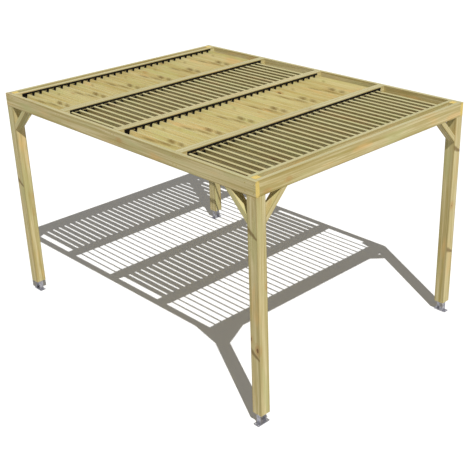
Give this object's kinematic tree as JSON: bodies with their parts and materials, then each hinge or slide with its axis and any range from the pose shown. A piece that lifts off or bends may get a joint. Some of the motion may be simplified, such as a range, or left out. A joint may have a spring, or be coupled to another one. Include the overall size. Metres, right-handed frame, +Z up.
{
  "type": "freestanding louvred wooden pergola",
  "caption": "Freestanding timber pergola on four posts with knee braces and a flat roof of tilted louvre boards held in black combs, on steel feet.",
  "frame": {"origin": "on the ground under the middle of the roof", "axes": "+Z up, X along the short front beam, +Y from the front towards the back along the long side beams"},
  "size_m": [3.035, 3.975, 2.45],
  "materials": {
    "frame_pine": "planed, pressure-treated pine with a green tint, knots and rounded arrises",
    "louvre_pine": "planed, pressure-treated pine boards",
    "black_plastic": "matt moulded black",
    "galvanised_steel": "dull galvanised"
  },
  "bodies": {
    "root": {"back_beam": "frame_pine", "back_left_beam_brace": "frame_pine", "back_left_foot": "galvanised_steel", "back_left_post": "frame_pine", "back_left_side_brace": "frame_pine", "back_right_beam_brace": "frame_pine", "back_right_foot": "galvanised_steel", "back_right_post": "frame_pine", "back_right_side_brace": "frame_pine", "bay_1_back_comb": "black_plastic", "bay_1_back_rail": "frame_pine", "bay_1_front_comb": "black_plastic", "bay_1_front_rail": "frame_pine", "bay_1_louvre_boards": "louvre_pine", "bay_2_back_comb": "black_plastic", "bay_2_back_rail": "frame_pine", "bay_2_front_comb": "black_plastic", "bay_2_front_rail": "frame_pine", "bay_2_louvre_boards": "louvre_pine", "bay_3_back_comb": "black_plastic", "bay_3_back_rail": "frame_pine", "bay_3_front_comb": "black_plastic", "bay_3_front_rail": "frame_pine", "bay_3_louvre_boards": "louvre_pine", "bay_4_back_comb": "black_plastic", "bay_4_back_rail": "frame_pine", "bay_4_front_comb": "black_plastic", "bay_4_front_rail": "frame_pine", "bay_4_louvre_boards": "louvre_pine", "front_beam": "frame_pine", "front_left_beam_brace": "frame_pine", "front_left_foot": "galvanised_steel", "front_left_post": "frame_pine", "front_left_side_brace": "frame_pine", "front_right_beam_brace": "frame_pine", "front_right_foot": "galvanised_steel", "front_right_post": "frame_pine", "front_right_side_brace": "frame_pine", "left_side_beam": "frame_pine", "right_side_beam": "frame_pine"}
  },
  "joints": []
}
